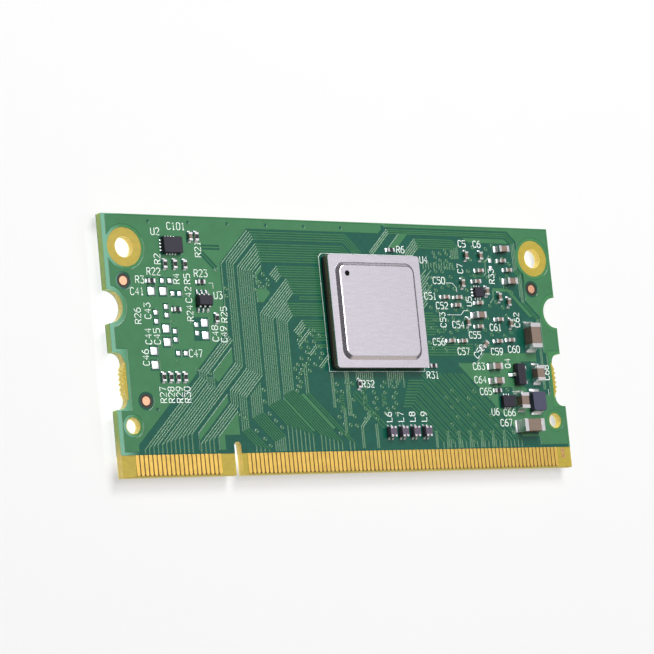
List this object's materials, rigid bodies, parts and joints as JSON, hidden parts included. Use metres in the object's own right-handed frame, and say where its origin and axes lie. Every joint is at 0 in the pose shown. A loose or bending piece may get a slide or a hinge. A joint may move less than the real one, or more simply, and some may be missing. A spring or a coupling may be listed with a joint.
{
  "type": "system on module",
  "caption": "Plug-in circuit module with gold edge contacts, a key slot, latch notches and a processor under a stepped metal heat spreader among small chip parts.",
  "frame": {"origin": "middle of the board's outline, on the surface that its two back packages rest on", "axes": "+X along the contact edge, key slot towards -X; +Y from the contact edge to the top edge; +Z out of the front face with the processor"},
  "size_m": [0.0676, 0.031, 0.0039],
  "materials": {
    "laminate": "glass fibre laminate, bare and slightly shiny",
    "solder_mask": "green lacquer over copper tracks",
    "contact_gold": "hard gold plating",
    "bare_copper": "bare copper with a clear coat",
    "solder": "bright reflowed tin solder",
    "spreader_metal": "satin nickel plating",
    "package_substrate": "dark laminate",
    "package_mould": "black moulding compound",
    "silicon": "polished silicon",
    "chip_mould": "black moulding compound",
    "tinned_metal": "bright tin plating",
    "inductor_ferrite": "blue-grey pressed ferrite",
    "choke_ferrite": "dark fired ferrite",
    "brown_ceramic": "brown fired ceramic",
    "white_alumina": "white fired ceramic",
    "resistor_film": "black glass overcoat"
  },
  "bodies": {
    "root": {"circuit_board": "laminate", "front_solder_mask": "solder_mask", "back_solder_mask": "solder_mask", "front_contacts_short": "contact_gold", "front_contacts_long": "contact_gold", "back_contacts_short": "contact_gold", "back_contacts_long": "contact_gold", "fiducial_targets": "bare_copper", "bare_solder_pads": "solder", "processor_balls": "solder", "memory_balls": "solder", "flash_balls": "solder", "front_solder_fillets": "solder", "back_solder_fillets": "solder", "heat_spreader": "spreader_metal", "processor_substrate": "package_substrate", "memory_substrate": "package_substrate", "flash_substrate": "package_substrate", "processor_mould": "package_mould", "memory_mould": "package_mould", "flash_mould": "package_mould", "processor_die": "silicon", "interface_chip_body": "chip_mould", "converter_chip_body": "chip_mould", "regulator_chip_body": "chip_mould", "switch_chip_body": "chip_mould", "transistor_body": "chip_mould", "interface_chip_pads": "tinned_metal", "converter_chip_pads": "tinned_metal", "regulator_chip_pads": "tinned_metal", "switch_chip_leads": "tinned_metal", "transistor_leads": "tinned_metal", "inductor_plates": "tinned_metal", "choke_terminals": "tinned_metal", "bulk_capacitor_ends": "tinned_metal", "large_capacitor_ends": "tinned_metal", "medium_capacitor_ends": "tinned_metal", "small_capacitor_ends": "tinned_metal", "resistor_ends": "tinned_metal", "back_capacitor_ends": "tinned_metal", "inductor_core": "inductor_ferrite", "choke_bodies": "choke_ferrite", "bulk_capacitor_bodies": "brown_ceramic", "large_capacitor_bodies": "brown_ceramic", "medium_capacitor_bodies": "brown_ceramic", "small_capacitor_bodies": "brown_ceramic", "back_capacitor_bodies": "brown_ceramic", "resistor_bodies": "white_alumina", "resistor_films": "resistor_film"}
  },
  "joints": []
}
